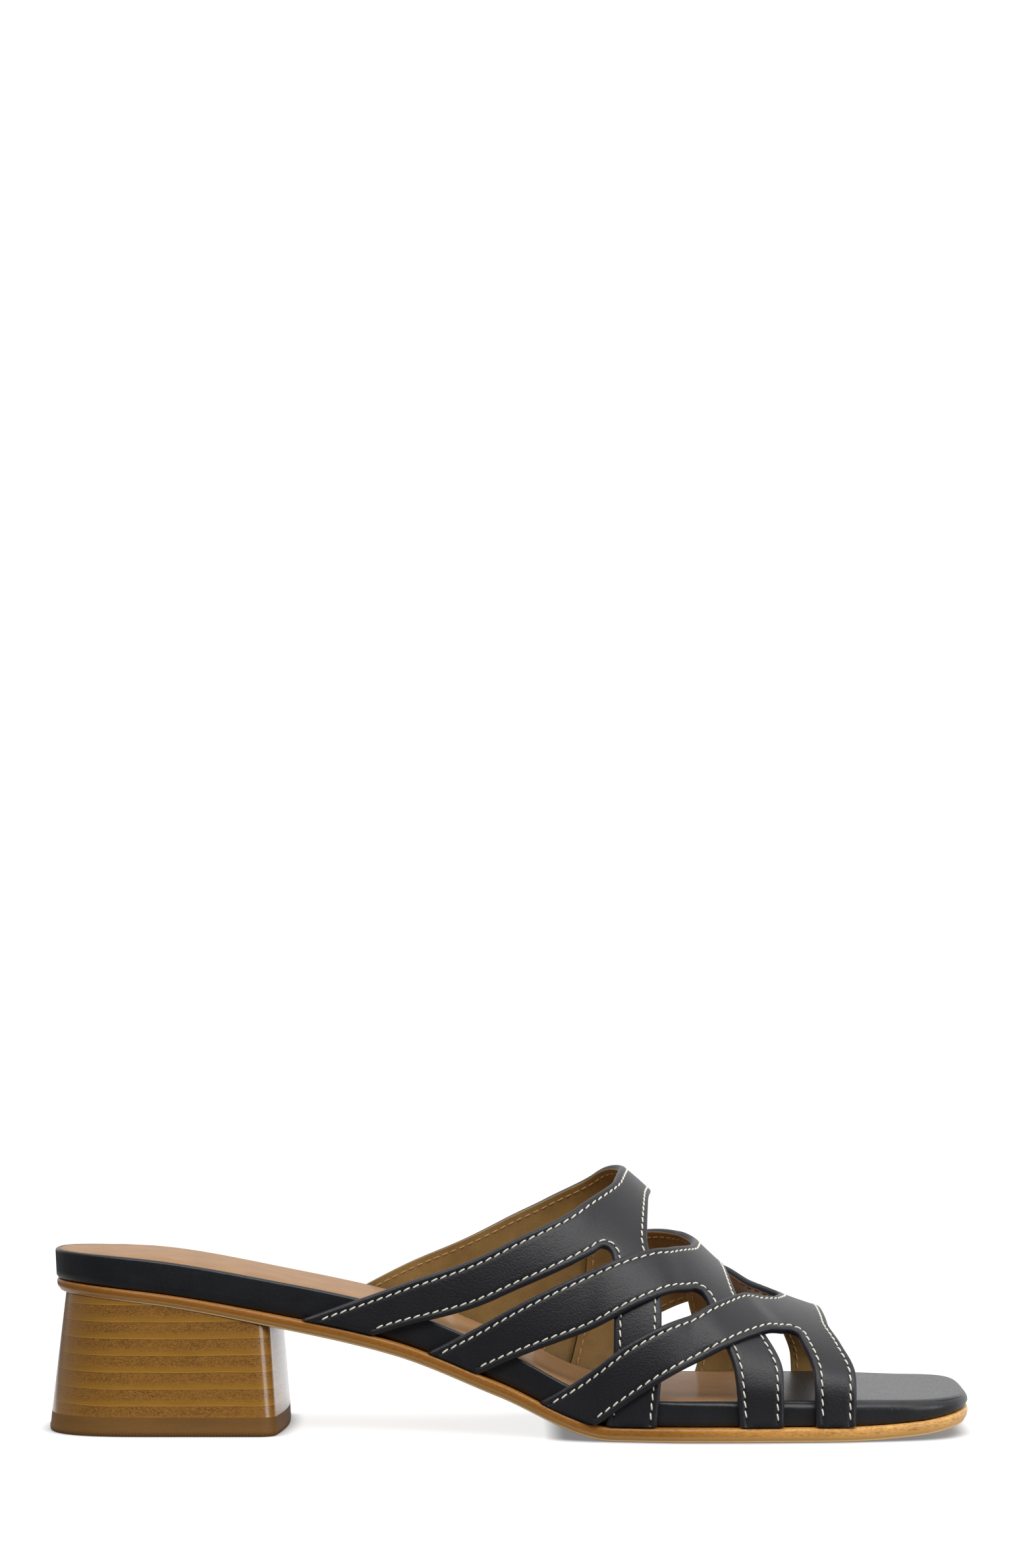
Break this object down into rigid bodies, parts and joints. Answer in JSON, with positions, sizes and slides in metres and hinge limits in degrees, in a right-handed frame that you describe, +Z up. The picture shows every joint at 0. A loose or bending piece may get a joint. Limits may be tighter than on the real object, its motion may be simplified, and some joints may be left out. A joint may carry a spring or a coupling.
{
  "type": "low heel sandal",
  "caption": "Women's slip-on sandal with interlaced crossing leather straps over the foot, an open square toe, a wrapped footbed and a low stacked block heel.",
  "frame": {"origin": "on the floor under the middle of the shoe's overall box", "axes": "+X from heel to toe, +Y towards the inner side of this right shoe, +Z up"},
  "size_m": [0.2472, 0.0872, 0.0702],
  "materials": {
    "outsole_leather": "satin",
    "stacked_heel": "gloss",
    "heel_rubber": "matte",
    "footbed_leather": "satin",
    "sock_leather": "satin",
    "upper_leather": "satin"
  },
  "bodies": {
    "root": {"outsole": "outsole_leather", "heel_block": "stacked_heel", "heel_top_piece": "heel_rubber", "footbed": "footbed_leather", "sock_lining": "sock_leather", "upper": "upper_leather"}
  },
  "joints": []
}
